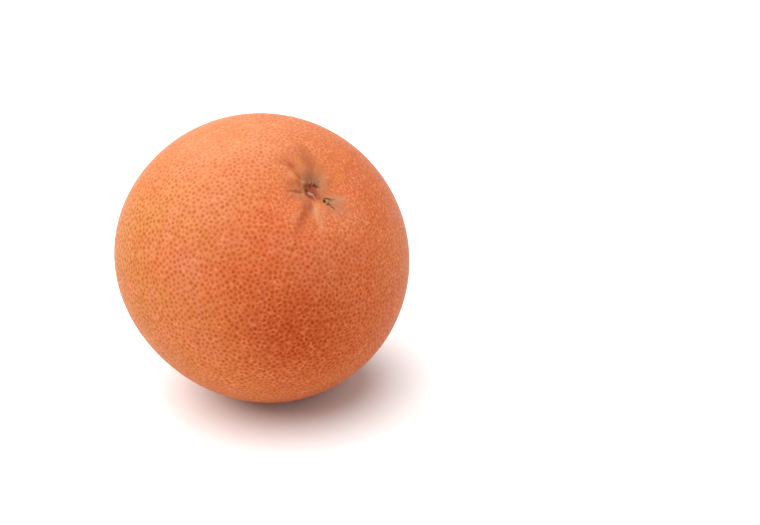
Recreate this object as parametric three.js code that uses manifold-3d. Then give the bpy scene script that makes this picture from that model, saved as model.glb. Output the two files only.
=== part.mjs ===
// A whole red grapefruit, lying on its side with the stem end turned up and to the front.
// Millimetres, +Z up, origin on the small flat spot that the fruit rests on.

import * as THREE from 'three';
import { mergeVertices } from 'three/addons/utils/BufferGeometryUtils.js';
import Module from 'manifold-3d';

// Driving dimensions, in millimetres and degrees.
// An azimuth and an elevation tell where something points as the fruit lies.
// A bearing runs around the stem end, from the fruit's right, anticlockwise.

const EQUATOR_RADIUS = 51.4;
const POLE_RATIO = 0.935;
const STEM_END = { azimuth: -55, elevation: 50.5 };

// Broad swells, and flats where the height is negative, that keep the fruit from being a true spheroid.
const SWELLS = [
  { azimuth: 178, elevation: 10, height: 1.5, spread: 38 },
  { azimuth: -152, elevation: -40, height: -0.9, spread: 34 },
  { azimuth: 130, elevation: 62, height: 0.7, spread: 36 },
  { azimuth: 40, elevation: 55, height: 0.7, spread: 36 },
  { azimuth: 5, elevation: 18, height: 0.5, spread: 40 },
  { azimuth: 88, elevation: 4, height: -0.6, spread: 32 },
  { azimuth: 120, elevation: -68, height: 1.2, spread: 30 },
];

// The stem end lies in a shallow dimple, ringed by a soft shoulder that the creases cut.
const DIMPLE = { depth: 3.0, reach: 11 };
const SHOULDER = { height: 0.35, radius: 7.5, width: 3.2 };
const CREASES = [
  { bearing: 135, start: 3.4, end: 15, depth: 0.55, width: 0.8 },
  { bearing: -170, start: 3.0, end: 11.5, depth: 0.6, width: 0.75 },
  { bearing: 90, start: 3.4, end: 13, depth: 0.5, width: 1.3 },
  { bearing: 0, start: 3.4, end: 11, depth: 0.3, width: 1.2 },
  { bearing: -38, start: 2.2, end: 11, depth: 0.85, width: 0.85 },
  { bearing: -99, start: 3.6, end: 11.5, depth: 0.4, width: 0.9 },
];
const CREASE_ONSET = 0.2;

// The pit that the stem button left: a ragged star with a low nub in it.
const PIT = { radius: 2.5, depth: 0.9, wall: 0.3 };
const PIT_POINTS = [
  { bearing: 145, length: 1.6, spread: 34 },
  { bearing: 60, length: 1.4, spread: 36 },
  { bearing: -37, length: 0.8, spread: 20 },
  { bearing: -125, length: 0.2, spread: 24 },
];
const NUB = { height: 0.45, width: 1.2 };

// The small round scar at the blossom end, in a dip of its own.
const BLOSSOM_DIP = { depth: 0.7, reach: 9 };
const BLOSSOM_SCAR = { radius: 2.1, depth: 0.35, wall: 0.25 };

// The flat spot: how deep it cuts into the round underside, and where that lies under the middle.
const FLAT_DEPTH = 0.9;
const LOWEST_POINT = { x: 1.4, y: -0.9, drop: 50 };

// Facets: meridians around the stem axis, rings along it, and how far the rings crowd at both ends.
const MERIDIANS = 72;
const RINGS = 56;
const RING_CROWDING = 0.8;

// Small helpers

const { degToRad, euclideanModulo, smoothstep } = THREE.MathUtils;

const bell = (offset, width) => Math.exp(-((offset / width) ** 2));

function pointing({ azimuth, elevation }) {
  const level = Math.cos(degToRad(elevation));
  const turn = degToRad(azimuth);
  return new THREE.Vector3(level * Math.cos(turn), level * Math.sin(turn), Math.sin(degToRad(elevation)));
}

// The stem axis, and the two directions that a bearing is counted from

const stem = pointing(STEM_END);
const toRight = new THREE.Vector3(1, 0, 0).addScaledVector(stem, -stem.x).normalize();
const toTop = new THREE.Vector3().crossVectors(stem, toRight);

// The peel's relief

function angleBetween(bearing, other) {
  return euclideanModulo(bearing - other + 180, 360) - 180;
}

function crease(arc, bearing, { bearing: heading, start, end, depth, width }) {
  const along = (arc - start) / (end - start);
  const aside = angleBetween(bearing, heading);
  if (along <= 0 || along >= 1 || Math.abs(aside) >= 90) {
    return 0;
  }
  const fade = smoothstep(along, 0, CREASE_ONSET) * (1 - along);
  return depth * fade * bell(arc * Math.sin(degToRad(aside)), width);
}

function sunken(arc, { radius, depth, wall }) {
  return depth * (1 - smoothstep(arc, radius * (1 - wall), radius * (1 + wall)));
}

function pit(arc, bearing) {
  let radius = PIT.radius;
  for (const { bearing: heading, length, spread } of PIT_POINTS) {
    radius += length * bell(angleBetween(bearing, heading), spread);
  }
  return sunken(arc, { ...PIT, radius });
}

function stemRelief(arc, bearing) {
  let height = SHOULDER.height * bell(arc - SHOULDER.radius, SHOULDER.width);
  height -= DIMPLE.depth * bell(arc, DIMPLE.reach);
  for (const one of CREASES) {
    height -= crease(arc, bearing, one);
  }
  return height - pit(arc, bearing) + NUB.height * bell(arc, NUB.width);
}

function blossomRelief(arc) {
  return -BLOSSOM_DIP.depth * bell(arc, BLOSSOM_DIP.reach) - sunken(arc, BLOSSOM_SCAR);
}

// Distance from the fruit's middle to its surface

function swell(direction, { height, spread, ...place }) {
  return height * Math.exp(-2 * (1 - direction.dot(pointing(place))) / degToRad(spread) ** 2);
}

function surfaceRadius(direction, polar, bearing) {
  const poleRadius = EQUATOR_RADIUS * POLE_RATIO;
  let radius = 1 / Math.hypot(Math.sin(polar) / EQUATOR_RADIUS, Math.cos(polar) / poleRadius);
  for (const one of SWELLS) {
    radius += swell(direction, one);
  }
  return radius + stemRelief(polar * poleRadius, bearing) + blossomRelief((Math.PI - polar) * poleRadius);
}

// The round body, before the flat spot is cut: a sphere's vertices moved along their own rays

function roundBody() {
  const geometry = new THREE.SphereGeometry(1, MERIDIANS, RINGS);
  const position = geometry.attributes.position;
  const even = new THREE.Spherical();
  const vertex = new THREE.Vector3();
  for (let i = 0; i < position.count; i += 1) {
    even.setFromVector3(vertex.fromBufferAttribute(position, i));
    const polar = even.phi - RING_CROWDING * Math.sin(2 * even.phi) / 2;
    vertex.copy(stem).multiplyScalar(Math.cos(polar));
    vertex.addScaledVector(toRight, Math.sin(polar) * Math.cos(even.theta));
    vertex.addScaledVector(toTop, Math.sin(polar) * Math.sin(even.theta));
    vertex.multiplyScalar(surfaceRadius(vertex, polar, THREE.MathUtils.radToDeg(even.theta)));
    const height = vertex.z + LOWEST_POINT.drop - FLAT_DEPTH;
    position.setXYZ(i, vertex.x - LOWEST_POINT.x, vertex.y - LOWEST_POINT.y, height);
  }
  geometry.deleteAttribute('normal');
  geometry.deleteAttribute('uv');
  return mergeVertices(geometry);
}

// Cutting the flat spot

const wasm = await Module();
wasm.setup();

function toSolid(geometry) {
  return new wasm.Manifold(new wasm.Mesh({
    numProp: 3,
    vertProperties: new Float32Array(geometry.attributes.position.array),
    triVerts: new Uint32Array(geometry.index.array),
  }));
}

function toGeometry(solid) {
  const mesh = solid.getMesh();
  const geometry = new THREE.BufferGeometry();
  geometry.setAttribute('position', new THREE.BufferAttribute(mesh.vertProperties, 3));
  geometry.setIndex(new THREE.BufferAttribute(mesh.triVerts, 1));
  geometry.computeVertexNormals();
  return geometry;
}

function groundBlock() {
  const side = 4 * EQUATOR_RADIUS;
  const block = new THREE.BoxGeometry(side, side, side).translate(0, 0, -side / 2);
  block.deleteAttribute('normal');
  block.deleteAttribute('uv');
  return mergeVertices(block);
}

// The fruit

const peelMaterial = new THREE.MeshStandardMaterial({ color: 0xe67b49, roughness: 0.45, metalness: 0 });

const fruit = toSolid(roundBody()).subtract(toSolid(groundBlock()));
const grapefruit = new THREE.Mesh(toGeometry(fruit), peelMaterial);
grapefruit.name = 'grapefruit';

const group = new THREE.Group();
group.add(grapefruit);

export default group;
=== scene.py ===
"""A whole red grapefruit: its waxy peel, grown around its oil glands, and the scar at its stem end."""

import math
from collections import namedtuple

import bpy
import numpy as np
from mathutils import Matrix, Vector, kdtree, noise
from mathutils.geometry import delaunay_2d_cdt


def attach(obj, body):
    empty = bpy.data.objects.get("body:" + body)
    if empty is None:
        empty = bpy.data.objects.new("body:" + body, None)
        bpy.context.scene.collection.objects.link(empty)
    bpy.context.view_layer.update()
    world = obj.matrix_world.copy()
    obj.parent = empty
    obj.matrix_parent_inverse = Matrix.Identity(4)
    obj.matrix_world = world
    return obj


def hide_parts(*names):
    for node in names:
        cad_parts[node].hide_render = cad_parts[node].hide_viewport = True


bl_info = {
    "name": "Red grapefruit",
    "version": (1, 0, 0),
    "blender": (4, 5, 0),
    "location": "3D Viewport > Sidebar > Grapefruit",
    "description": "Grows the peel of a red grapefruit around its solid, and sets the stage for it",
    "category": "Add Mesh",
}

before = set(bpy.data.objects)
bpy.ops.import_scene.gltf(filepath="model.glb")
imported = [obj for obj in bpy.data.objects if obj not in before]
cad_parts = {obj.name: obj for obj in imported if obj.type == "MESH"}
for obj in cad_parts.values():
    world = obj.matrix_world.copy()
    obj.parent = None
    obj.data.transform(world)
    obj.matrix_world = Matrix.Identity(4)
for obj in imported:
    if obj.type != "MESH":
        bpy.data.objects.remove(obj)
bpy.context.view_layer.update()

MM = 0.001

# Shape of the fruit, in millimetres and degrees, the same as its solid's.
# An azimuth and an elevation tell where something points as the fruit lies.
# A bearing runs around the stem end, from the fruit's right, anticlockwise.

Swell = namedtuple("Swell", "azimuth elevation height spread")
Crease = namedtuple("Crease", "bearing start end depth width")
Hollow = namedtuple("Hollow", "radius depth wall")
Dip = namedtuple("Dip", "depth reach")
Point = namedtuple("Point", "bearing length spread")

EQUATOR_RADIUS = 51.4
POLE_RATIO = 0.935
POLE_RADIUS = EQUATOR_RADIUS * POLE_RATIO
MEAN_RADIUS = 50.6
STEM_AZIMUTH = -55
STEM_ELEVATION = 50.5

SWELLS = [
    Swell(178, 10, 1.5, 38),
    Swell(-152, -40, -0.9, 34),
    Swell(130, 62, 0.7, 36),
    Swell(40, 55, 0.7, 36),
    Swell(5, 18, 0.5, 40),
    Swell(88, 4, -0.6, 32),
    Swell(120, -68, 1.2, 30),
]

DIMPLE = Dip(3.0, 11)
SHOULDER_HEIGHT = 0.35
SHOULDER_RADIUS = 7.5
SHOULDER_WIDTH = 3.2
CREASES = [
    Crease(135, 3.4, 15, 0.55, 0.8),
    Crease(-170, 3.0, 11.5, 0.6, 0.75),
    Crease(90, 3.4, 13, 0.5, 1.3),
    Crease(0, 3.4, 11, 0.3, 1.2),
    Crease(-38, 2.2, 11, 0.85, 0.85),
    Crease(-99, 3.6, 11.5, 0.4, 0.9),
]
CREASE_ONSET = 0.2
PIT = Hollow(2.5, 0.9, 0.3)
PIT_POINTS = [Point(145, 1.6, 34), Point(60, 1.4, 36), Point(-37, 0.8, 20), Point(-125, 0.2, 24)]
NUB_HEIGHT = 0.45
NUB_WIDTH = 1.2

BLOSSOM_DIP = Dip(0.7, 9)
BLOSSOM_SCAR = Hollow(2.1, 0.35, 0.25)

FLAT_DEPTH = 0.9
MIDDLE = np.array([-1.4, 0.9, 50 - FLAT_DEPTH])

# Finer points than the glands, so that both scars have enough mesh for their small forms: how far out they
# lie and how far apart, and at which share of that their triangles split

STEM_MESH_REACH = 9.5
BLOSSOM_MESH_REACH = 4.5
SCAR_MESH_SPACING = 0.8
SCAR_MESH_SPLIT = 0.33

# The one point of the mesh below the middle: how far glands keep from it, and where its triangles split

UNDER_CLEARANCE = 1
UNDER_SPLIT = 0.8

# Where a side of a triangle may split, as a share of its length

LEAST_SPLIT = 0.15
MOST_SPLIT = 0.42

# Glands that crowd each other are pushed apart: how many neighbours count, how hard they push, and how often

NEIGHBOURS = 6
PUSH = 0.35
PUSH_ROUNDS = 3

# How far glands differ from the usual one in size, and in how they show and how pale their pores are

SMALLEST_GLAND = 0.45
LARGEST_GLAND = 1.45
USUAL_TONE = 0.93
LEAST_TONE = 0.2
MOST_TONE = 1.25
PORE_VARIATION = 0.3
PALEST_PORE = 0.6

# The glands are small and faint near the stem end, and full further out

GLANDS_FADE_FROM = 4
GLANDS_FADE_TO = 24
FAINTEST_GLAND = 0.3
SMALLEST_FADED = 0.75

# Around a gland: where its dip ends, where the low web around it starts and is full, in radii of the gland,
# and how high the web is beside the dip

DIP_END = 1.25
WEB_START = 0.8
WEB_FULL = 1.4
WEB_RISE = 0.2

# Fields of the peel: where painted sheen fades its glands, as soft glare on the upper side would, and where
# it ripened to another colour; some of those colours also carry painted shade and painted sheen

Tint = namedtuple("Tint", "azimuth elevation spread share")

SHEEN_VEIL = [
    Tint(-20, 50, 28, 0.72), Tint(-165, 70, 18, 0.45), Tint(-90, 86, 24, 0.2), Tint(-25, 20, 20, 0.25),
    Tint(-100, 36, 20, 0.12),
]
FIELDS = {
    # Blush: partly the real coral blush, partly painted shade on the front and the right of the peel
    "blush_and_shade": [
        Tint(-88, 28, 26, 0.9), Tint(-50, 12, 30, 0.6), Tint(-14, 48, 26, 0.8), Tint(-76, 43, 12, 0.7),
        Tint(65, 20, 45, 0.6), Tint(160, -40, 35, 0.4),
    ],
    "gold": [
        Tint(-176, 6, 42, 1.0), Tint(-150, -24, 30, 0.7),
        Tint(100, -30, 40, 0.7), Tint(110, 30, 25, 0.4),
    ],
    "honey": [Tint(-160, 40, 27, 1.0), Tint(-128, 40, 14, 0.1), Tint(-65, 66, 14, 0.3)],
    # Haze: partly paler peel, partly painted sheen, strongest over the top where soft glare would lie
    "haze_and_sheen": [
        Tint(-165, 83, 29, 1.0), Tint(-170, 56, 24, 0.25), Tint(-121, 45, 12.5, 0.5),
        Tint(-150, -12, 22, 0.13), Tint(-124, 5, 16, 0.2), Tint(-57, 27, 10, 0.25),
        Tint(10, 55, 28, 0.2), Tint(120, 55, 40, 0.5),
    ],
    "rose": [
        Tint(-124, 22, 8.5, 0.85), Tint(-111, 34, 8, 0.1), Tint(-42, 38, 7, 0.7),
        Tint(-68, 22, 12, 0.5), Tint(40, 10, 20, 0.4),
    ],
    # Deep: partly the real reddest peel, partly painted shade, low on the front and at the upper right
    "deep": [
        Tint(-84, -2, 21.5, 0.66), Tint(-62, -14, 32, 0.5), Tint(-106, 26, 12, 0.12), Tint(-16, 47, 22, 0.3),
        Tint(-89, 56, 11, 0.12), Tint(-14, 73, 10, 0.12), Tint(30, -40, 40, 0.5),
    ],
}

# Soft folds that run out from the stem end, too low for the solid: valleys, and ridges where the depth is
# negative

FOLDS = [
    Crease(-80, 4.5, 22, -0.55, 1.5),
    Crease(-110, 5.5, 21, 0.55, 1.5),
    Crease(-128, 6, 20, -0.4, 1.5),
    Crease(-149, 6, 18, 0.4, 1.4),
    Crease(-73, 6, 19, 0.5, 1.1),
    Crease(-62, 6, 19, -0.5, 1.1),
    Crease(-50, 7, 18, 0.4, 1.2),
    Crease(-18, 5, 15, -0.4, 1.3),
    Crease(22, 5, 17, 0.3, 1.8),
    Crease(45, 5, 18, -0.35, 1.8),
    Crease(66, 5, 16, 0.3, 1.2),
    Crease(112, 5, 17, -0.35, 1.4),
    Crease(158, 4, 15, -0.5, 1.6),
]

# Marks around the stem end, in millimetres from its middle, to the right and to the top as seen from
# outside, with the turn of the long side, half the length, half the width, the rise, the colour and how
# strongly it shows, and how far it breaks up into specks

Mark = namedtuple("Mark", "right top turn length width rise colour strength specks")

MARKS = [
    Mark(-1.5, 1.5, 95, 13, 9.5, 0.0, "tan", 0.36, 0.3),
    Mark(-1.0, 4.0, 95, 7.8, 6.4, 0.0, "tan", 0.38, 0.3),
    Mark(7.2, -3.2, -20, 5.0, 3.2, 0.0, "pale cork", 0.42, 0.3),
    Mark(6.0, -2.6, -30, 3.2, 1.5, 0.0, "pale cork", 0.65, 0.2),
    Mark(6.6, -1.6, -10, 2.0, 0.7, 0.0, "cork", 0.4, 0.3),
    Mark(-4.5, 14.0, 120, 6.0, 4.0, 0.0, "tan", 0.3, 0.3),
    Mark(-12.0, 11.5, 30, 4.0, 3.0, 0.0, "blotch and fold shade", 0.2, 0.2),
    Mark(-2.6, -5.0, -80, 2.6, 2.2, 0.0, "pink", 0.35, 0.2),
    Mark(-4.1, -11.0, -113, 5.5, 1.7, 0.0, "blotch and fold shade", 0.8, 0.4),
    Mark(1.6, -9.6, -81, 5.4, 1.7, 0.0, "ridge highlight", 0.5, 0.4),
    Mark(-6.8, -10.5, -125, 3.0, 1.0, 0.0, "ridge highlight", 0.3, 0.0),
    Mark(-3.0, 15.5, 95, 4.5, 2.2, 0.0, "blotch and fold shade", 0.25, 0.2),
    Mark(-5.8, 2.3, 130, 2.2, 0.9, 0.1, "blotch and fold shade", 0.5, 0.0),
    Mark(-6.6, 4.6, 120, 2.4, 1.6, 0.0, "ochre", 0.3, 0.1),
    Mark(-8.3, 1.6, 10, 1.6, 1.2, 0.0, "ochre", 0.4, 0.0),
    Mark(-7.9, 5.0, 100, 1.6, 1.2, 0.0, "ridge highlight", 0.25, 0.0),
    Mark(-8.6, 9.8, 150, 2.6, 1.5, 0.0, "blotch and fold shade", 0.4, 0.3),
    Mark(-7.9, 9.0, 150, 1.5, 0.9, 0.0, "blotch and fold shade", 0.6, 0.1),
    Mark(-0.7, 11.8, 95, 3.5, 2.4, 0.0, "ochre", 0.4, 0.4),
    Mark(-5.2, 11.2, 110, 2.2, 1.3, 0.0, "amber", 0.4, 0.3),
    Mark(-7.2, 5.1, 105, 2.0, 1.3, 0.0, "amber", 0.7, 0.2),
    Mark(3.0, 13.2, 75, 2.2, 1.5, 0.0, "amber", 0.35, 0.3),
    Mark(9.6, 7.6, 60, 2.6, 1.6, 0.0, "amber", 0.55, 0.3),
    Mark(-0.6, 5.0, 5, 3.6, 2.2, 0.1, "cork", 0.8, 0.25),
    Mark(1.4, 5.0, 80, 1.0, 0.6, 0.0, "cork", 0.6, 0.0),
    Mark(-0.6, 8.6, 92, 3.4, 1.5, 0.0, "cork", 0.36, 0.4),
    Mark(-2.6, 6.6, 20, 1.4, 1.0, 0.0, "pink", 0.35, 0.0),
    Mark(3.1, 4.8, 88, 3.8, 1.7, 0.0, "pale cork", 0.6, 0.3),
    Mark(4.4, 3.0, -86, 3.0, 0.9, 0.1, "pale cork", 0.45, 0.3),
    Mark(-3.8, 0.2, -86, 3.3, 0.6, 0.12, "pale cork", 0.65, 0.15),
    Mark(-6.2, -2.5, 5, 2.8, 1.1, 0.08, "pale pink", 0.55, 0.1),
    Mark(-5.9, 5.9, 133, 2.6, 0.4, -0.08, "crust and rim shade", 0.2, 0.2),
    Mark(-6.8, -1.2, 8, 2.8, 0.45, -0.08, "crust and rim shade", 0.35, 0.2),
    Mark(-8.9, -1.5, 0, 1.0, 0.5, 0.0, "crust and rim shade", 0.2, 0.0),
    Mark(-3.7, 3.3, -80, 1.4, 0.5, 0.1, "lens", 0.7, 0.1),
    Mark(9.4, -1.4, 5, 2.4, 1.1, 0.08, "lens", 0.45, 0.3),
    Mark(7.9, -4.1, -20, 1.3, 0.8, 0.12, "pale pink", 0.6, 0.0),
    Mark(7.6, -6.4, -45, 1.7, 1.1, 0.1, "pale cork", 0.65, 0.1),
    Mark(5.7, -3.5, -40, 1.0, 0.6, 0.3, "pale cork", 0.8, 0.0),
    Mark(-1.0, -6.9, -86, 2.0, 1.0, -0.05, "cork", 0.65, 0.2),
    Mark(-0.1, -8.8, -92, 2.2, 0.9, -0.05, "lens", 0.35, 0.3),
    Mark(-0.2, 0.3, -20, 3.1, 2.4, 0.0, "flesh", 0.9, 0.0),
    Mark(2.0, 0.0, -75, 1.9, 0.8, 0.15, "pink", 0.6, 0.2),
    Mark(-0.5, 2.1, 0, 1.6, 0.5, -0.15, "wound and slit shade", 0.5, 0.0),
    Mark(-0.6, 2.1, 10, 0.5, 0.3, 0.0, "raw", 0.4, 0.0),
    Mark(1.6, 2.2, 10, 0.7, 0.3, 0.0, "crust and rim shade", 0.5, 0.0),
    Mark(2.1, 2.2, -30, 0.45, 0.35, 0.15, "lens", 0.6, 0.0),
    Mark(-2.6, 2.5, 10, 0.9, 0.6, 0.05, "wound and slit shade", 0.7, 0.0),
    Mark(-1.0, 2.95, 5, 0.9, 0.42, 0.1, "crust and rim shade", 0.75, 0.3),
    Mark(1.2, 3.3, 0, 0.9, 0.36, 0.1, "hole", 0.8, 0.3),
    Mark(2.0, 4.6, 70, 0.9, 0.24, 0.05, "crust and rim shade", 0.35, 0.0),
    Mark(-2.4, 4.6, 100, 1.0, 0.24, 0.05, "crust and rim shade", 0.3, 0.0),
    Mark(2.2, 2.9, 5, 0.8, 0.3, 0.0, "crust and rim shade", 0.5, 0.2),
    Mark(-1.8, 3.6, 85, 0.8, 0.26, 0.05, "crust and rim shade", 0.4, 0.0),
    Mark(-0.5, 3.8, 95, 0.9, 0.32, 0.05, "crust and rim shade", 0.4, 0.0),
    Mark(0.8, 3.7, 80, 0.7, 0.32, 0.05, "crust and rim shade", 0.4, 0.0),
    Mark(1.5, 3.6, 0, 0.5, 0.3, 0.15, "pale cork", 0.7, 0.0),
    Mark(-2.0, 0.8, -60, 0.85, 0.55, -0.2, "hole", 0.8, 0.0),
    Mark(-1.0, 0.65, -30, 0.7, 0.4, 0.05, "cork", 0.8, 0.0),
    Mark(-0.3, -0.6, -32, 2.1, 0.46, 0.3, "lens", 0.9, 0.0),
    Mark(-2.3, -0.7, -65, 1.2, 0.45, -0.3, "wound and slit shade", 0.9, 0.0),
    Mark(-1.1, -2.0, -42, 1.3, 0.45, -0.3, "wound and slit shade", 0.9, 0.0),
    Mark(-0.1, -2.6, -35, 0.75, 0.5, 0.0, "raw", 0.95, 0.0),
    Mark(4.3, -2.6, -70, 0.8, 0.46, -0.4, "hole", 0.95, 0.0),
    Mark(5.3, -3.6, -100, 0.8, 0.34, -0.35, "hole", 0.9, 0.0),
    Mark(4.9, -2.9, -60, 0.7, 0.3, 0.1, "lens", 0.3, 0.0),
    Mark(5.3, -1.8, -15, 1.2, 0.42, -0.25, "crust and rim shade", 0.85, 0.2),
    Mark(6.0, -2.5, -35, 0.8, 0.3, -0.15, "crust and rim shade", 0.5, 0.2),
    Mark(7.0, -2.1, 30, 0.7, 0.28, 0.0, "crust and rim shade", 0.4, 0.0),
    Mark(6.6, -5.0, -42, 1.1, 0.4, -0.2, "crust and rim shade", 0.75, 0.3),
]

# Where a mark is full and where it ends, as shares of half its length and width

MARK_CORE = 0.25
MARK_EDGE = 1.55

# Colours of the marks; several stand partly for painted shade and painted highlight, as noted by each
SCAR_COLOURS = {
    # Tan: partly corky tan skin, partly painted shade in the stem-end dimple and above the pit
    "tan": "#a05f3b",
    "ochre": "#9b4c30",
    "cork": "#8f5f42",
    "pale cork": "#a97959",
    # Crust: partly dark dead tissue, partly painted shade under the pit's rim and along a crease
    "crust and rim shade": "#3a2410",
    "hole": "#241408",
    # Blotch: partly brownish blotches, partly painted shade along the valleys and creases it lies in
    "blotch and fold shade": "#9c492c",
    "flesh": "#8e4331",
    "pink": "#a35345",
    "pale pink": "#b0745c",
    # Lens: partly pale tissue, partly painted highlight on the raised nubs in and beside the pit
    "lens": "#b08c6c",
    # Wound: partly raw dark red tissue, partly painted shade in the sunken slits of the pit
    "wound and slit shade": "#853824",
    "raw": "#af302a",
    # Painted highlight along the ridges of the folds around the pit
    "ridge highlight": "#d59770",
    "amber": "#cf7c3a",
}

# The corky lip around the pit, and the grain of the pit itself: where they lie, in radii of the pit, and
# their sizes in millimetres

LIP_PLACE = 1.12
LIP_HEIGHT = 0.15
LIP_WIDTH = 0.6
GRAIN_FULL = 0.9
GRAIN_END = 1.6
GRAIN_HEIGHT = 0.16
GRAIN_SIZE = 1.1

# Fine wrinkles that ring the stem end: millimetres from one to the next, and how often they break on the
# way round

WRINKLE_SPACING = 0.45
WRINKLE_TURNS = 6

# The net between the dots: how wide it is where two glands meet, in millimetres

NET_WIDTH = 0.55

# How far out from the stem end the peel starts to turn corky and dull, and where it is so, in millimetres

DULL_FROM = 7.5
DULL_TO = 3.0

# The light: where it comes from, and how wide it is as seen from the fruit, in degrees

KEY_AZIMUTH = 169
KEY_ELEVATION = 70
KEY_WIDTH = 90

# The camera: its lens and sensor, how far and how high it stands from the fruit's middle, and how it is
# aimed, in millimetres and degrees

LENS = 66.65
SENSOR_WIDTH = 36
CAMERA_DISTANCE = 500
CAMERA_ELEVATION = 26
CAMERA_TILT = 26.24
CAMERA_TURN = 5.2


def pointing(azimuth, elevation):
    """The unit vector that points that way."""
    turn, lift = math.radians(azimuth), math.radians(elevation)
    return np.array([math.cos(lift) * math.cos(turn), math.cos(lift) * math.sin(turn), math.sin(lift)])


STEM = pointing(STEM_AZIMUTH, STEM_ELEVATION)
TO_RIGHT = np.array([1.0, 0.0, 0.0]) - STEM[0] * STEM
TO_RIGHT /= np.linalg.norm(TO_RIGHT)
TO_TOP = np.cross(STEM, TO_RIGHT)


def bell(offset, width):
    """A soft bump, 1 at the middle."""
    return np.exp(-((offset / width) ** 2))


def smooth_step(value, low, high):
    """0 below low, 1 above high, and an S between them."""
    t = np.clip((value - low) / (high - low), 0, 1)
    return t * t * (3 - 2 * t)


def units(vectors):
    """The same vectors at length 1."""
    return vectors / np.linalg.norm(vectors, axis=-1, keepdims=True)


def broad_bell(directions, azimuth, elevation, spread):
    """A bump on the sphere around one direction."""
    return np.exp(-2 * (1 - directions @ pointing(azimuth, elevation)) / math.radians(spread) ** 2)


def tint_share(directions, tints):
    """How ripe the peel is for one colour, from 0 to 1."""
    share = np.zeros(len(directions))
    for tint in tints:
        share += tint.share * broad_bell(directions, tint.azimuth, tint.elevation, tint.spread)
    return np.clip(share, 0, 1)


def angle_between(bearing, other):
    """The turn from other to bearing, from -180 to 180 degrees."""
    return (bearing - other + 180) % 360 - 180


def stem_coordinates(directions):
    """The angle from the stem axis, and the bearing around it."""
    polar = np.arccos(np.clip(directions @ STEM, -1, 1))
    return polar, np.degrees(np.arctan2(directions @ TO_TOP, directions @ TO_RIGHT))


def crease_share(arc, bearing, crease):
    """How far into one crease a point lies, from 0 to 1."""
    along = (arc - crease.start) / (crease.end - crease.start)
    aside = angle_between(bearing, crease.bearing)
    inside = (along > 0) & (along < 1) & (np.abs(aside) < 90)
    fade = smooth_step(along, 0, CREASE_ONSET) * (1 - along)
    return np.where(inside, fade * bell(arc * np.sin(np.radians(aside)), crease.width), 0)


def sunken(arc, radius, hollow):
    """Depth of a round hollow with a soft wall."""
    return hollow.depth * (1 - smooth_step(arc, radius * (1 - hollow.wall), radius * (1 + hollow.wall)))


def pit_radius(bearing):
    """Radius of the ragged pit that the stem button left, by bearing."""
    ragged = sum(
        point.length * bell(angle_between(bearing, point.bearing), point.spread) for point in PIT_POINTS
    )
    return PIT.radius + ragged


def surface_radius(directions):
    """Distance from the fruit's middle to its surface, in millimetres."""
    polar, bearing = stem_coordinates(directions)
    radius = 1 / np.hypot(np.sin(polar) / EQUATOR_RADIUS, np.cos(polar) / POLE_RADIUS)
    for swell in SWELLS:
        radius += swell.height * broad_bell(directions, swell.azimuth, swell.elevation, swell.spread)
    arc = polar * POLE_RADIUS
    radius += SHOULDER_HEIGHT * bell(arc - SHOULDER_RADIUS, SHOULDER_WIDTH)
    radius -= DIMPLE.depth * bell(arc, DIMPLE.reach)
    for crease in CREASES:
        radius -= crease.depth * crease_share(arc, bearing, crease)
    radius += NUB_HEIGHT * bell(arc, NUB_WIDTH) - sunken(arc, pit_radius(bearing), PIT)
    from_blossom = (math.pi - polar) * POLE_RADIUS
    radius -= BLOSSOM_DIP.depth * bell(from_blossom, BLOSSOM_DIP.reach)
    return radius - sunken(from_blossom, BLOSSOM_SCAR.radius, BLOSSOM_SCAR)


# Placing the glands

def golden_turn(place):
    """The turn at each place of a spiral whose arms never line up, in radians."""
    return place * math.pi * (3 - math.sqrt(5))


def spiral_sphere(count):
    """Directions spread evenly over the whole sphere."""
    place = np.arange(count) + 0.5
    height = 1 - 2 * place / count
    turn = golden_turn(place)
    level = np.sqrt(1 - height**2)
    return np.stack([level * np.cos(turn), level * np.sin(turn), height], axis=1)


def spiral_disc(axis, reach, spacing):
    """Directions spread evenly around one axis, out to reach millimetres from it."""
    step = spacing * math.sqrt(math.sqrt(3) / (2 * math.pi))
    place = np.arange(int((reach / step) ** 2)) + 0.5
    arc = step * np.sqrt(place) / POLE_RADIUS
    turn = golden_turn(place)
    around = np.cos(turn)[:, None] * TO_RIGHT + np.sin(turn)[:, None] * TO_TOP
    return np.cos(arc)[:, None] * axis + np.sin(arc)[:, None] * around


def nearest_of(directions, places, count):
    """Which of the directions lie nearest to each place, the nearest first."""
    tree = kdtree.KDTree(len(directions))
    for i, direction in enumerate(directions):
        tree.insert(direction, i)
    tree.balance()
    return np.array([[found[1] for found in tree.find_n(place, count)] for place in places])


def pushed_apart(directions, spacing):
    """Moves directions away from near neighbours, a little each round."""
    for _ in range(PUSH_ROUNDS):
        near = nearest_of(directions, directions, NEIGHBOURS + 1)[:, 1:]
        away = directions[:, None] - directions[near]
        distance = np.linalg.norm(away, axis=2, keepdims=True)
        push = away / distance * np.clip(spacing - distance, 0, None)
        directions = units(directions + PUSH * push.sum(axis=1))
    return directions


def gland_directions(settings):
    """Directions of all the peel's glands, strewn unevenly."""
    spacing = settings.gland_spacing / MM
    cell = spacing**2 * math.sqrt(3) / 2
    count = round(4 * math.pi * MEAN_RADIUS**2 / cell)
    rng = np.random.default_rng(settings.seed)
    step = spacing / MEAN_RADIUS
    strewn = units(spiral_sphere(count) + settings.gland_jitter * step * rng.normal(size=(count, 3)))
    return pushed_apart(strewn, step)


Glands = namedtuple("Glands", "directions radius depth tone pore")


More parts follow.
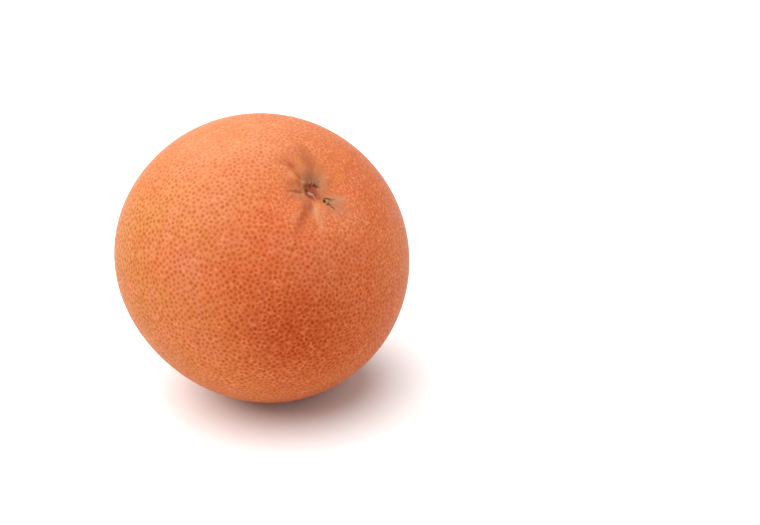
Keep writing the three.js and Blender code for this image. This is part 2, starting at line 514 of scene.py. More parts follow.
def grown_glands(settings):
    """Every gland of the peel: its radius and depth in millimetres, its tone, and how pale its pore is."""
    directions = gland_directions(settings)
    rng = np.random.default_rng(settings.seed + 1)
    arc = stem_coordinates(directions)[0] * POLE_RADIUS
    grown = smooth_step(arc, GLANDS_FADE_FROM, GLANDS_FADE_TO)
    size = np.clip(rng.normal(1, settings.gland_variation, len(arc)), SMALLEST_GLAND, LARGEST_GLAND)
    radius = settings.gland_radius / MM * size * (SMALLEST_FADED + (1 - SMALLEST_FADED) * grown)
    faint = FAINTEST_GLAND + (1 - FAINTEST_GLAND) * grown
    # Painted sheen: under the glare of the upper side the glands are drawn fainter, and shallower too
    faint *= 1 - tint_share(directions, SHEEN_VEIL)
    depth = settings.gland_depth / MM * size * faint
    tone = rng.normal(USUAL_TONE, settings.tone_variation, len(arc))
    tone = np.clip(tone, LEAST_TONE, MOST_TONE) * faint
    pore = np.clip(rng.normal(0, PORE_VARIATION, len(arc)), 0, PALEST_PORE)
    return Glands(directions, radius, depth, tone, pore)


def mesh_points(glands):
    """The points that the mesh grows from: the glands' middles, closer points at both scars, and one below.

    The second result is how far from each the mesh splits towards its neighbours.
    """
    arc = stem_coordinates(glands.directions)[0] * POLE_RADIUS
    clear = (arc > STEM_MESH_REACH) & (arc < math.pi * POLE_RADIUS - BLOSSOM_MESH_REACH)
    under = units(-MIDDLE)
    clear &= glands.directions @ under < math.cos(UNDER_CLEARANCE / MEAN_RADIUS)
    finer = np.concatenate([
        spiral_disc(STEM, STEM_MESH_REACH - SCAR_MESH_SPACING, SCAR_MESH_SPACING),
        spiral_disc(-STEM, BLOSSOM_MESH_REACH - SCAR_MESH_SPACING, SCAR_MESH_SPACING),
    ])
    points = np.concatenate([glands.directions[clear], finer, under[None]])
    split_finer = np.full(len(finer), SCAR_MESH_SPLIT * SCAR_MESH_SPACING)
    return points, np.concatenate([glands.radius[clear], split_finer, [UNDER_SPLIT]])


# The peel's relief and mesh

def delaunay_on_sphere(directions, pole):
    """Triangles that join directions to their neighbours.

    The directions are laid out flat as seen from the pole, triangulated, and closed at the pole.
    """
    first = units(np.cross(pole, [1.0, 0.0, 0.0]))
    second = np.cross(pole, first)
    reach = 1 - directions @ pole
    flat = np.stack([directions @ first, directions @ second], axis=1) / reach[:, None]
    faces = delaunay_2d_cdt([Vector(place) for place in flat], [], [], 0, 0.0, False)[2]
    triangles = np.array(faces)
    corners = directions[triangles]
    normals = np.cross(corners[:, 1] - corners[:, 0], corners[:, 2] - corners[:, 0])
    inward = np.einsum("ij,ij->i", normals, corners[:, 0]) < 0
    triangles[inward] = triangles[inward][:, ::-1]
    sides = {tuple(side) for side in triangles[:, [[0, 1], [1, 2], [2, 0]]].reshape(-1, 2).tolist()}
    rim = [[end, start, len(directions)] for start, end in sides if (end, start) not in sides]
    return np.concatenate([triangles, sorted(rim)])


def split_in_nine(points, split, triangles):
    """Splits each triangle into three at each of its corners: one inside the gland's rim and two outside.

    Gives the directions of all vertices, and the small triangles.
    """
    count = len(points)
    sides = np.sort(triangles[:, [[0, 1], [1, 2], [2, 0]]].reshape(-1, 2), axis=1)
    edges, which = np.unique(sides, axis=0, return_inverse=True)
    which = which.reshape(-1, 3)
    length = np.linalg.norm(points[edges[:, 0]] - points[edges[:, 1]], axis=1) * MEAN_RADIUS
    parts = [points]
    for near, far in ((0, 1), (1, 0)):
        share = np.clip(split[edges[:, near]] / length, LEAST_SPLIT, MOST_SPLIT)[:, None]
        parts.append(units(points[edges[:, near]] * (1 - share) + points[edges[:, far]] * share))
    parts.append(units(points[triangles].mean(axis=1)))
    web = count + 2 * len(edges) + np.arange(len(triangles))

    def rim_point(side, gland, neighbour):
        return count + which[:, side] + np.where(gland < neighbour, 0, len(edges))

    small = []
    for k in range(3):
        before = (k + 2) % 3
        gland, following, previous = triangles[:, k], triangles[:, (k + 1) % 3], triangles[:, before]
        ahead = rim_point(k, gland, following)
        behind = rim_point(before, gland, previous)
        across = rim_point(k, following, gland)
        small += [(gland, ahead, behind), (ahead, web, behind), (ahead, across, web)]
    return np.concatenate(parts), np.concatenate([np.stack(corners, axis=1) for corners in small])


def gland_relief(directions, glands, nearest):
    """Height of the peel over and between the glands: a soft dip over each, and a low web where they meet."""
    apart = np.linalg.norm(directions - glands.directions[nearest], axis=1) * MEAN_RADIUS
    ratio = apart / glands.radius[nearest]
    web = WEB_RISE * smooth_step(ratio, WEB_START, WEB_FULL)
    dip = 1 - smooth_step(ratio, 0, DIP_END)
    return glands.depth[nearest] * (web - dip)


def mark_share(right, top, mark):
    """How far into a mark a point lies, from 0 to 1."""
    turn = math.radians(mark.turn)
    along = (right - mark.right) * math.cos(turn) + (top - mark.top) * math.sin(turn)
    aside = (top - mark.top) * math.cos(turn) - (right - mark.right) * math.sin(turn)
    return 1 - smooth_step(np.hypot(along / mark.length, aside / mark.width), MARK_CORE, MARK_EDGE)


def scar_relief(directions):
    """Height of the small forms around the stem end: folds, the pit's corky lip, nubs, slits and grain."""
    polar, bearing = stem_coordinates(directions)
    arc = polar * POLE_RADIUS
    turn = np.radians(bearing)
    rim = pit_radius(bearing)
    height = LIP_HEIGHT * bell(arc - LIP_PLACE * rim, LIP_WIDTH)
    for fold in FOLDS:
        height -= fold.depth * crease_share(arc, bearing, fold)
    for mark in MARKS:
        height += mark.rise * mark_share(arc * np.cos(turn), arc * np.sin(turn), mark)
    for i in np.nonzero(arc < GRAIN_END * rim)[0]:
        place = Vector(directions[i]) * (MEAN_RADIUS / GRAIN_SIZE)
        grainy = 1 - smooth_step(arc[i], GRAIN_FULL * rim[i], GRAIN_END * rim[i])
        height[i] += GRAIN_HEIGHT * grainy * noise.fractal(place, 1.0, 2.0, 3)
    return height


def on_the_ground(directions, radius):
    """Surface points in millimetres, with those that would sink below the flat spot brought up to it."""
    below = MIDDLE[2] + directions[:, 2] * radius < 0
    radius = np.where(below, MIDDLE[2] / np.where(below, -directions[:, 2], 1), radius)
    points = MIDDLE + directions * radius[:, None]
    points[below, 2] = 0
    return points


def store(mesh, name, kind, domain, values):
    """Keeps values on the mesh for its material to read."""
    attribute = mesh.attributes.new(name, kind, domain)
    attribute.data.foreach_set("value" if kind == "FLOAT" else "vector", values.astype(np.float32).ravel())


def build_peel_mesh(settings):
    """The peel as one closed mesh, with what its material needs to know kept on it."""
    glands = grown_glands(settings)
    points, split = mesh_points(glands)
    triangles = delaunay_on_sphere(points[:-1], points[-1])
    directions, faces = split_in_nine(points, split, triangles)
    nearest = nearest_of(glands.directions, directions, 1)[:, 0]
    relief = scar_relief(directions) + gland_relief(directions, glands, nearest)
    vertices = on_the_ground(directions, surface_radius(directions) + relief)

    mesh = bpy.data.meshes.new("peel")
    mesh.from_pydata((vertices * MM).tolist(), [], faces.tolist())
    mesh.polygons.foreach_set("use_smooth", [True] * len(faces))

    polar, bearing = stem_coordinates(directions)
    arc, turn = polar * POLE_RADIUS, np.radians(bearing)
    place = np.stack([arc * np.cos(turn), arc * np.sin(turn), np.zeros(len(arc))], axis=1)
    centres = on_the_ground(glands.directions, surface_radius(glands.directions)) * MM
    around = nearest_of(glands.directions, directions[faces].mean(axis=1), 3)
    look = np.stack([glands.radius * MM, glands.tone, glands.pore], axis=1)
    store(mesh, "stem_place", "FLOAT_VECTOR", "POINT", place)
    store(mesh, "from_blossom", "FLOAT", "POINT", (math.pi - polar) * POLE_RADIUS)
    # The fields carry painted shade and painted sheen as well as ripening, as noted where they are listed
    for name, tints in FIELDS.items():
        store(mesh, f"{name}_field", "FLOAT", "POINT", tint_share(directions, tints))
    store(mesh, "creased", "FLOAT", "POINT", sum(crease_share(arc, bearing, crease) for crease in CREASES))
    store(mesh, "gland_look", "FLOAT_VECTOR", "POINT", look[nearest])
    for k in range(3):
        store(mesh, f"gland_centre_{k}", "FLOAT_VECTOR", "FACE", centres[around[:, k]])
    mesh.update()
    return mesh


# Materials

def linear(colour):
    """A hex sRGB colour as linear red, green, blue and alpha."""
    parts = [int(colour[i : i + 2], 16) / 255 for i in (1, 3, 5)]
    return [c / 12.92 if c <= 0.04045 else ((c + 0.055) / 1.055) ** 2.4 for c in parts] + [1.0]


def per(millimetres):
    """The texture scale that draws a pattern at that real size."""
    return 1 / (millimetres * MM)


def add_node(tree, kind, inputs=(), **settings):
    """Adds a node with its settings, and with its inputs given as values or as the sockets that feed them."""
    node = tree.nodes.new(kind)
    for name, value in settings.items():
        setattr(node, name, value)
    for name, value in dict(inputs).items():
        if isinstance(value, bpy.types.NodeSocket):
            tree.links.new(value, node.inputs[name])
        else:
            node.inputs[name].default_value = value
    return node


def new_material(name):
    """An empty node material and its tree."""
    material = bpy.data.materials.new(name)
    material.use_nodes = True
    material.node_tree.nodes.clear()
    return material, material.node_tree


def gland_dots(tree, place):
    """How deep in its oil gland each spot lies, from 0 where glands meet to 1, and the gland's tone."""
    look = add_node(tree, "ShaderNodeAttribute", attribute_name="gland_look").outputs["Vector"]
    radius, tone, pore = add_node(tree, "ShaderNodeSeparateXYZ", {"Vector": look}).outputs
    apart = []
    for k in range(3):
        centre = add_node(tree, "ShaderNodeAttribute", attribute_name=f"gland_centre_{k}").outputs["Vector"]
        distance = add_node(tree, "ShaderNodeVectorMath", {0: place, 1: centre}, operation="DISTANCE")
        apart.append(distance.outputs["Value"])
    closer = add_node(tree, "ShaderNodeMath", {0: apart[0], 1: apart[1]}, operation="MINIMUM").outputs[0]
    farther = add_node(tree, "ShaderNodeMath", {0: apart[0], 1: apart[1]}, operation="MAXIMUM").outputs[0]
    nearest = add_node(tree, "ShaderNodeMath", {0: closer, 1: apart[2]}, operation="MINIMUM").outputs[0]
    rest = add_node(tree, "ShaderNodeMath", {0: farther, 1: apart[2]}, operation="MINIMUM").outputs[0]
    second = add_node(tree, "ShaderNodeMath", {0: closer, 1: rest}, operation="MAXIMUM").outputs[0]
    gap = add_node(tree, "ShaderNodeMath", {0: second, 1: nearest}, operation="SUBTRACT").outputs[0]
    rim = add_node(tree, "ShaderNodeMapRange", {"Value": gap, "From Max": NET_WIDTH * MM}).outputs["Result"]

    ratio = add_node(tree, "ShaderNodeMath", {0: nearest, 1: radius}, operation="DIVIDE").outputs[0]
    wobble = add_node(tree, "ShaderNodeTexNoise", {"Vector": place, "Scale": per(0.7), "Detail": 2.0})
    uneven = {0: wobble.outputs["Fac"], 1: 0.8, 2: ratio}
    ragged = add_node(tree, "ShaderNodeMath", uneven, operation="MULTIPLY_ADD").outputs[0]
    fade = {"Value": ragged, "From Min": 1.6, "From Max": 0.4}
    round_dot = add_node(tree, "ShaderNodeMapRange", fade, interpolation_type="SMOOTHSTEP").outputs["Result"]
    dot = add_node(tree, "ShaderNodeMath", {0: round_dot, 1: rim}, operation="MULTIPLY").outputs[0]
    opening = {"Value": ratio, "From Min": 0.55, "From Max": 0.1, "To Max": pore}
    pale = add_node(tree, "ShaderNodeMapRange", opening, interpolation_type="SMOOTHSTEP").outputs["Result"]
    filled = add_node(tree, "ShaderNodeMath", {0: 1.0, 1: pale}, operation="SUBTRACT").outputs[0]
    dot = add_node(tree, "ShaderNodeMath", {0: dot, 1: filled}, operation="MULTIPLY").outputs[0]
    return dot, tone


def ripened(tree, finish, place):
    """The colour of the peel between its glands: broad fields of ripening, some of them partly painted shade
    and painted sheen, mottled at several sizes.

    The last field, the reddest, lies over the mottles.
    """
    layers = []
    for name in FIELDS:
        share = add_node(tree, "ShaderNodeAttribute", attribute_name=f"{name}_field").outputs["Fac"]
        layers.append((share, getattr(finish, f"{name}_colour")))
    for size, low, high, other, most in (
        (13, 0.49, 0.6, finish.blush_and_shade_colour, 0.25),
        (8, 0.5, 0.62, finish.rose_colour, 0.4),
        (5, 0.5, 0.66, finish.gold_colour, 0.35),
        (2.5, 0.52, 0.7, finish.blush_and_shade_colour, 0.2),
    ):
        patches = {"Vector": place, "Scale": per(size), "Detail": 4.0, "Roughness": 0.6}
        patch = add_node(tree, "ShaderNodeTexNoise", patches).outputs["Fac"]
        reach = {"Value": patch, "From Min": low, "From Max": high, "To Max": most}
        share = add_node(tree, "ShaderNodeMapRange", reach, interpolation_type="SMOOTHSTEP").outputs["Result"]
        layers.insert(-1, (share, other))
    colour = finish.peel_colour
    for share, other in layers:
        colour = add_node(tree, "ShaderNodeMix", {0: share, 6: colour, 7: other}, data_type="RGBA").outputs[2]
    return colour


def scarred(tree, colour, place, stem_place):
    """The same colour with the marks around the stem end on it, their edges ragged; some marks are partly
    painted shade and painted highlight.
    """
    ragged = stem_place
    for size, detail, stray in ((1.6, 3.0, 1.3), (0.6, 1.0, 0.9)):
        drift = add_node(tree, "ShaderNodeTexNoise", {"Vector": place, "Scale": per(size), "Detail": detail})
        offset = {0: drift.outputs["Color"], 1: (0.5, 0.5, 0.5)}
        centred = add_node(tree, "ShaderNodeVectorMath", offset, operation="SUBTRACT").outputs["Vector"]
        moved = {0: centred, 1: (stray, stray, 0.0), 2: ragged}
        ragged = add_node(tree, "ShaderNodeVectorMath", moved, operation="MULTIPLY_ADD").outputs["Vector"]
    broken = add_node(tree, "ShaderNodeTexNoise", {"Vector": place, "Scale": per(0.55), "Detail": 2.0})
    for mark in MARKS:
        frame_of_mark = {
            "Vector": ragged,
            "Location": (mark.right, mark.top, 0.0),
            "Rotation": (0.0, 0.0, math.radians(mark.turn)),
            "Scale": (mark.length, mark.width, 1.0),
        }
        inside = add_node(tree, "ShaderNodeMapping", frame_of_mark, vector_type="TEXTURE").outputs["Vector"]
        ratio = add_node(tree, "ShaderNodeVectorMath", {0: inside}, operation="LENGTH").outputs["Value"]
        fade = {"Value": ratio, "From Min": MARK_EDGE, "From Max": MARK_CORE, "To Max": mark.strength}
        share = add_node(tree, "ShaderNodeMapRange", fade, interpolation_type="SMOOTHSTEP").outputs["Result"]
        if mark.specks:
            speckled = {
                "Value": broken.outputs["Fac"],
                "From Min": 0.42,
                "From Max": 0.56,
                "To Min": 1 - mark.specks,
            }
            specks = add_node(tree, "ShaderNodeMapRange", speckled).outputs["Result"]
            share = add_node(tree, "ShaderNodeMath", {0: share, 1: specks}, operation="MULTIPLY").outputs[0]
        mixed = {0: share, 6: colour, 7: linear(SCAR_COLOURS[mark.colour])}
        colour = add_node(tree, "ShaderNodeMix", mixed, data_type="RGBA").outputs[2]
    return colour


def pale_between_glands(tree, place, stem_place, tone):
    """How pale the skin between the glands is: flecked all over, partly paler skin and partly painted glints
    where the raised net catches light, and wrinkled where the glands are faint, the wrinkles pale with
    painted sheen.
    """
    drifts = add_node(tree, "ShaderNodeTexNoise", {"Vector": place, "Scale": per(4)})
    drifted = {
        "Value": drifts.outputs["Fac"],
        "From Min": 0.4,
        "From Max": 0.6,
        "To Min": 0.1,
        "To Max": 0.31,
    }
    most = add_node(tree, "ShaderNodeMapRange", drifted).outputs["Result"]
    flecks = add_node(tree, "ShaderNodeTexNoise", {"Vector": place, "Scale": per(1.1), "Detail": 2.0})
    bright = {"Value": flecks.outputs["Fac"], "From Min": 0.44, "From Max": 0.62, "To Max": most}
    fleck = add_node(tree, "ShaderNodeMapRange", bright, interpolation_type="SMOOTHSTEP").outputs["Result"]

    heading = add_node(tree, "ShaderNodeVectorMath", {0: stem_place}, operation="NORMALIZE").outputs["Vector"]
    from_stem = add_node(tree, "ShaderNodeVectorMath", {0: stem_place}, operation="LENGTH").outputs["Value"]
    outward = add_node(tree, "ShaderNodeCombineXYZ", {"Z": from_stem}).outputs["Vector"]
    turned = {0: heading, 1: (WRINKLE_TURNS, WRINKLE_TURNS, 0.0), 2: outward}
    ringed = add_node(tree, "ShaderNodeVectorMath", turned, operation="MULTIPLY_ADD").outputs["Vector"]
    waves = {"Vector": ringed, "Scale": 1 / WRINKLE_SPACING, "Detail": 2.0}
    wrinkles = add_node(tree, "ShaderNodeTexNoise", waves).outputs["Fac"]
    # Painted sheen: where the glands are faint, as under the glare of the upper side, the wrinkles are drawn
    # paler
    veiled = {"Value": tone, "From Min": 0.45, "From Max": 0.95, "To Min": 0.62, "To Max": 0.0}
    most = add_node(tree, "ShaderNodeMapRange", veiled).outputs["Result"]
    lit = {"Value": wrinkles, "From Min": 0.49, "From Max": 0.64, "To Max": most}
    wrinkle = add_node(tree, "ShaderNodeMapRange", lit, interpolation_type="SMOOTHSTEP").outputs["Result"]
    return add_node(tree, "ShaderNodeMath", {0: fleck, 1: wrinkle}, operation="MAXIMUM").outputs[0]


def withered_at_blossom(tree, finish, colour, place):
    """The same colour with the dry, ragged scar of the blossom end on it."""
    from_blossom = add_node(tree, "ShaderNodeAttribute", attribute_name="from_blossom").outputs["Fac"]
    crumbs = add_node(tree, "ShaderNodeTexNoise", {"Vector": place, "Scale": per(1.2), "Detail": 3.0})
    crumbled = {0: crumbs.outputs["Fac"], 1: 3.0, 2: from_blossom}
    ragged = add_node(tree, "ShaderNodeMath", crumbled, operation="MULTIPLY_ADD").outputs[0]
    for outer, inner, most, other in (
        (7.0, 3.0, 0.6, finish.haze_and_sheen_colour),
        (4.0, 2.9, 0.8, finish.blossom_scar_colour),
        (2.9, 1.9, 0.6, finish.crust_colour),
    ):
        ring = {"Value": ragged, "From Min": outer, "From Max": inner, "To Max": most}
        share = add_node(tree, "ShaderNodeMapRange", ring, interpolation_type="SMOOTHSTEP").outputs["Result"]
        colour = add_node(tree, "ShaderNodeMix", {0: share, 6: colour, 7: other}, data_type="RGBA").outputs[2]
    return colour


def waxed_citrus_peel(finish):
    """Waxed citrus peel.

    A thin rubbed-down wax over living skin: satin, with hardly a highlight, its colour from just below the
    surface, and darker dots where the oil glands lie.
    """
    material, tree = new_material("waxed citrus peel")
    place = add_node(tree, "ShaderNodeTexCoord").outputs["Object"]
    stem_place = add_node(tree, "ShaderNodeAttribute", attribute_name="stem_place").outputs["Vector"]
    creased = add_node(tree, "ShaderNodeAttribute", attribute_name="creased").outputs["Fac"]

    dot, tone = gland_dots(tree, place)
    oil = add_node(tree, "ShaderNodeMath", {0: dot, 1: tone}, operation="MULTIPLY").outputs[0]
    between = add_node(tree, "ShaderNodeMath", {0: 1.0, 1: dot}, operation="SUBTRACT").outputs[0]
    most = pale_between_glands(tree, place, stem_place, tone)
    pale = add_node(tree, "ShaderNodeMath", {0: most, 1: between}, operation="MULTIPLY").outputs[0]
    # Between the glands the peel pales towards the net colour: partly paler skin, partly painted glints and
    # sheen
    netted = {0: pale, 6: ripened(tree, finish, place), 7: finish.net_and_glint_colour}
    net = add_node(tree, "ShaderNodeMix", netted, data_type="RGBA").outputs[2]
    oily = {0: oil, 6: net, 7: finish.oil_colour}
    colour = add_node(tree, "ShaderNodeMix", oily, data_type="RGBA", blend_type="MULTIPLY").outputs[2]
    # Painted shade: the peel is drawn darker and browner deep in the creases around the stem end
    shaded = add_node(tree, "ShaderNodeMath", {0: creased, 1: 0.5}, operation="MULTIPLY").outputs[0]
    folded = {0: shaded, 6: colour, 7: finish.crease_shade_colour}
    colour = add_node(tree, "ShaderNodeMix", folded, data_type="RGBA").outputs[2]
    colour = scarred(tree, colour, place, stem_place)
    colour = withered_at_blossom(tree, finish, colour, place)

    from_stem = add_node(tree, "ShaderNodeVectorMath", {0: stem_place}, operation="LENGTH").outputs["Value"]
    corky = {"Value": from_stem, "From Min": DULL_FROM, "From Max": DULL_TO}
    dull = add_node(tree, "ShaderNodeMapRange", corky, interpolation_type="SMOOTHSTEP").outputs["Result"]
    waxed = {"Value": dull, "To Min": finish.roughness, "To Max": finish.scar_roughness}
    roughness = add_node(tree, "ShaderNodeMapRange", waxed).outputs["Result"]

    # The skin's own grain is about 0.1 mm: it is drawn coarser, so that it shows
    grain = add_node(tree, "ShaderNodeTexNoise", {"Vector": place, "Scale": per(0.45), "Detail": 2.0})
    grained = {0: grain.outputs["Fac"], 1: 0.4}
    fine = add_node(tree, "ShaderNodeMath", grained, operation="MULTIPLY").outputs[0]
    height = add_node(tree, "ShaderNodeMath", {0: fine, 1: oil}, operation="SUBTRACT").outputs[0]
    relief = add_node(tree, "ShaderNodeBump", {"Height": height, "Distance": 0.05 * MM})

    shader = add_node(tree, "ShaderNodeBsdfPrincipled", {
        "Base Color": colour,
        "Roughness": roughness,
        "IOR": 1.42,
        "Subsurface Weight": 0.15,
        "Subsurface Radius": (1.0, 0.4, 0.2),
        "Subsurface Scale": 0.8 * MM,
        "Specular IOR Level": 0.04,
        "Coat Weight": 0.01,
        "Coat Roughness": 0.3,
        "Normal": relief.outputs["Normal"],
    })
    add_node(tree, "ShaderNodeOutputMaterial", {"Surface": shader.outputs["BSDF"]})
    return material


def matt_white_paper(settings):
    """Matt white paper, rolled out: one even white with no sheen."""
    material, tree = new_material("matt white paper")
    paper = {"Base Color": settings.floor_colour, "Roughness": 0.9}
    shader = add_node(tree, "ShaderNodeBsdfPrincipled", paper)
    add_node(tree, "ShaderNodeOutputMaterial", {"Surface": shader.outputs["BSDF"]})
    return material


# Stage

def build_floor(settings):
    """A wide round floor."""
    sides = 96
    radius = settings.floor_radius
    turns = [2 * math.pi * i / sides for i in range(sides)]
    rim = [(radius * math.cos(turn), radius * math.sin(turn), 0) for turn in turns]
    mesh = bpy.data.meshes.new("floor")
    mesh.from_pydata(rim, [], [list(range(sides))])
    mesh.materials.append(matt_white_paper(settings))
    return mesh


def place_key_light(settings):
    """A wide soft light, far off to the left and above, as even as a large softbox."""
    light = bpy.data.lights.new("key light", "SUN")
    light.angle = math.radians(KEY_WIDTH)
    # A sun of strength pi lights white that faces it to exactly white
    light.energy = math.pi * settings.key_light
    lamp = bpy.data.objects.new("key light", light)
    bpy.context.collection.objects.link(lamp)
    lamp.rotation_euler = Vector(pointing(KEY_AZIMUTH, KEY_ELEVATION)).to_track_quat("Z", "Y").to_euler()


def build_world(settings):
    """Even light from all around, and plain white where the camera sees past the floor."""
    world = bpy.data.worlds.new("white room")
    bpy.context.scene.world = world
    world.use_nodes = True
    tree = world.node_tree
    tree.nodes.clear()
    white = linear("#ffffff")
    lighting = add_node(tree, "ShaderNodeBackground", {"Color": white, "Strength": settings.room_light})
    seen = add_node(tree, "ShaderNodeBackground", {"Color": white, "Strength": 1.0})
    path = add_node(tree, "ShaderNodeLightPath").outputs["Is Camera Ray"]
    both = {0: path, 1: lighting.outputs["Background"], 2: seen.outputs["Background"]}
    shader = add_node(tree, "ShaderNodeMixShader", both)
    add_node(tree, "ShaderNodeOutputWorld", {"Surface": shader.outputs["Shader"]})


def place_camera():
    """The camera in front of the fruit and above it, aimed past its right side."""
    camera = bpy.data.cameras.new("camera")
    camera.lens = LENS
    camera.sensor_width = SENSOR_WIDTH
    seat = bpy.data.objects.new("camera", camera)
    bpy.context.collection.objects.link(seat)
    seat.location = Vector(MIDDLE + CAMERA_DISTANCE * pointing(-90, CAMERA_ELEVATION)) * MM
    seat.rotation_euler = (math.radians(90 - CAMERA_TILT), 0, -math.radians(CAMERA_TURN))
    bpy.context.scene.camera = seat


# Settings, operators and panel

class PeelSettings(bpy.types.PropertyGroup):
    """Sizes of the peel's oil glands."""

    gland_spacing: bpy.props.FloatProperty(
        name="Gland spacing", description="Distance between the middles of two oil glands",
        default=1.9 * MM, min=1 * MM, precision=5, unit="LENGTH",
    )
    gland_radius: bpy.props.FloatProperty(
        name="Gland radius", description="Radius of a gland where it shows through the peel",
        default=0.86 * MM, min=0.1 * MM, precision=5, unit="LENGTH",
    )
    gland_depth: bpy.props.FloatProperty(
        name="Gland depth", description="How deep the peel dips over a gland",
        default=0.08 * MM, min=0, precision=5, unit="LENGTH",
    )
    gland_jitter: bpy.props.FloatProperty(
        name="Gland jitter", description="How far glands stray from an even spread",
        default=0.34, min=0, max=1, subtype="FACTOR",
    )
    gland_variation: bpy.props.FloatProperty(
        name="Gland variation", description="How much glands differ in size",
        default=0.17, min=0, max=1, subtype="FACTOR",
    )
    tone_variation: bpy.props.FloatProperty(
        name="Tone variation", description="How much glands differ in how strongly they show",
        default=0.16, min=0, max=1, subtype="FACTOR",
    )
    seed: bpy.props.IntProperty(
        name="Seed", description="Number that picks one arrangement of glands", default=7, min=0,
    )


class FinishSettings(bpy.types.PropertyGroup):
    """Colours and gloss of the peel."""

    peel_colour: bpy.props.FloatVectorProperty(
        name="Peel", description="Colour of the peel between its glands",
        default=linear("#c5713e"), size=4, min=0, max=1, subtype="COLOR",
    )
    # Partly the real coral blush, partly painted shade where its field lies on the front and the right
    blush_and_shade_colour: bpy.props.FloatVectorProperty(
        name="Blush", description="Colour where the sun turned the peel coral",
        default=linear("#c9643c"), size=4, min=0, max=1, subtype="COLOR",
    )
    # Partly the real reddest peel, partly painted shade low on the front and at the upper right
    deep_colour: bpy.props.FloatVectorProperty(
        name="Deep", description="Colour where the peel is reddest",
        default=linear("#ac461c"), size=4, min=0, max=1, subtype="COLOR",
    )
    gold_colour: bpy.props.FloatVectorProperty(
        name="Gold", description="Colour where the peel is most yellow",
        default=linear("#b86e37"), size=4, min=0, max=1, subtype="COLOR",
    )
    honey_colour: bpy.props.FloatVectorProperty(
        name="Honey", description="Colour where the peel is light and yellow",
        default=linear("#ba7a42"), size=4, min=0, max=1, subtype="COLOR",
    )
    # Partly pale peel, partly painted sheen over the top; also the pale ring around the blossom scar
    haze_and_sheen_colour: bpy.props.FloatVectorProperty(
        name="Haze", description="Colour where the peel is palest",
        default=linear("#c87e58"), size=4, min=0, max=1, subtype="COLOR",
    )
    rose_colour: bpy.props.FloatVectorProperty(
        name="Rose", description="Colour of the patches that a pale bloom dulls",
        default=linear("#c87556"), size=4, min=0, max=1, subtype="COLOR",
    )
    # Partly paler skin, partly painted glints where the raised net catches light
    net_and_glint_colour: bpy.props.FloatVectorProperty(
        name="Net", description="Colour of the brightest flecks between the glands",
        default=linear("#e99460"), size=4, min=0, max=1, subtype="COLOR",
    )
    oil_colour: bpy.props.FloatVectorProperty(
        name="Oil", description="What the oil in a gland leaves of the light",
        default=linear("#e1be92"), size=4, min=0, max=1, subtype="COLOR",
    )
    # Painted shade deep in the creases around the stem end
    crease_shade_colour: bpy.props.FloatVectorProperty(
        name="Crease", description="Colour deep in the creases around the stem end",
        default=linear("#a25d36"), size=4, min=0, max=1, subtype="COLOR",
    )
    blossom_scar_colour: bpy.props.FloatVectorProperty(
        name="Blossom scar", description="Colour of the dry scar at the blossom end",
        default=linear("#96623c"), size=4, min=0, max=1, subtype="COLOR",
    )
    crust_colour: bpy.props.FloatVectorProperty(
        name="Crust", description="Colour of the dead tissue in the middle of that scar",
        default=linear("#54361f"), size=4, min=0, max=1, subtype="COLOR",
    )
    roughness: bpy.props.FloatProperty(
        name="Roughness", description="Roughness of the waxed peel",
        default=0.42, min=0, max=1, subtype="FACTOR",
    )
    scar_roughness: bpy.props.FloatProperty(
        name="Scar roughness", description="Roughness of the corky scar",
        default=0.8, min=0, max=1, subtype="FACTOR",
    )


class StageSettings(bpy.types.PropertyGroup):
    """Floor and light."""

    floor_radius: bpy.props.FloatProperty(
        name="Floor radius", description="Radius of the round floor", default=3.0, min=0.5, unit="LENGTH",
    )
    floor_colour: bpy.props.FloatVectorProperty(
        name="Floor", description="Colour of the floor",
        default=linear("#f8f8f8"), size=4, min=0, max=1, subtype="COLOR",
    )
    room_light: bpy.props.FloatProperty(
        name="Room light", description="Strength of the even light from all around",
        default=0.54, min=0,
    )
    key_light: bpy.props.FloatProperty(
        name="Key light", description="Strength of the wide light, where it falls straight on",
        default=1.34, min=0,
    )


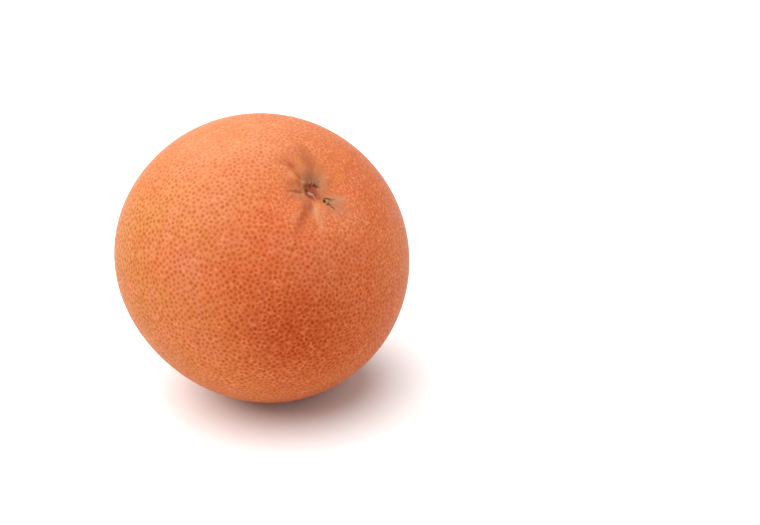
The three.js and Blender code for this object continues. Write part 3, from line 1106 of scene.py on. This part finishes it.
class GRAPEFRUIT_OT_grow_peel(bpy.types.Operator):
    """Grow the peel with its glands and scars"""

    bl_idname = "grapefruit.grow_peel"
    bl_label = "Grow Peel"

    def execute(self, context):
        mesh = build_peel_mesh(context.scene.grapefruit_peel)
        mesh.materials.append(waxed_citrus_peel(context.scene.grapefruit_finish))
        peel = bpy.data.objects.new("peel", mesh)
        context.collection.objects.link(peel)
        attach(peel, "root")
        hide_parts("grapefruit")
        return {"FINISHED"}


class GRAPEFRUIT_OT_set_stage(bpy.types.Operator):
    """Set the floor, the lights and the camera"""

    bl_idname = "grapefruit.set_stage"
    bl_label = "Set Stage"

    def execute(self, context):
        settings = context.scene.grapefruit_stage
        floor = bpy.data.objects.new("floor", build_floor(settings))
        context.collection.objects.link(floor)
        build_world(settings)
        place_key_light(settings)
        place_camera()
        context.scene.view_settings.view_transform = "Standard"
        return {"FINISHED"}


class GRAPEFRUIT_PT_panel(bpy.types.Panel):
    """The grapefruit's operators and settings"""

    bl_label = "Grapefruit"
    bl_space_type = "VIEW_3D"
    bl_region_type = "UI"
    bl_category = "Grapefruit"

    def draw(self, context):
        scene = context.scene
        for operator, groups in (
            (GRAPEFRUIT_OT_grow_peel, (scene.grapefruit_peel, scene.grapefruit_finish)),
            (GRAPEFRUIT_OT_set_stage, (scene.grapefruit_stage,)),
        ):
            for group in groups:
                for name in group.__annotations__:
                    self.layout.prop(group, name)
            self.layout.operator(operator.bl_idname)


SETTINGS = {
    "grapefruit_peel": PeelSettings,
    "grapefruit_finish": FinishSettings,
    "grapefruit_stage": StageSettings,
}
CLASSES = [*SETTINGS.values(), GRAPEFRUIT_OT_grow_peel, GRAPEFRUIT_OT_set_stage, GRAPEFRUIT_PT_panel]


def register():
    """Makes the settings, the operators and the panel known."""
    for one in CLASSES:
        bpy.utils.register_class(one)
    for name, group in SETTINGS.items():
        setattr(bpy.types.Scene, name, bpy.props.PointerProperty(type=group))


def unregister():
    """Takes them out again."""
    for name in SETTINGS:
        delattr(bpy.types.Scene, name)
    for one in reversed(CLASSES):
        bpy.utils.unregister_class(one)


def main():
    """Builds everything."""
    register()
    bpy.ops.grapefruit.grow_peel()
    bpy.ops.grapefruit.set_stage()


if __name__ == "__main__":
    main()
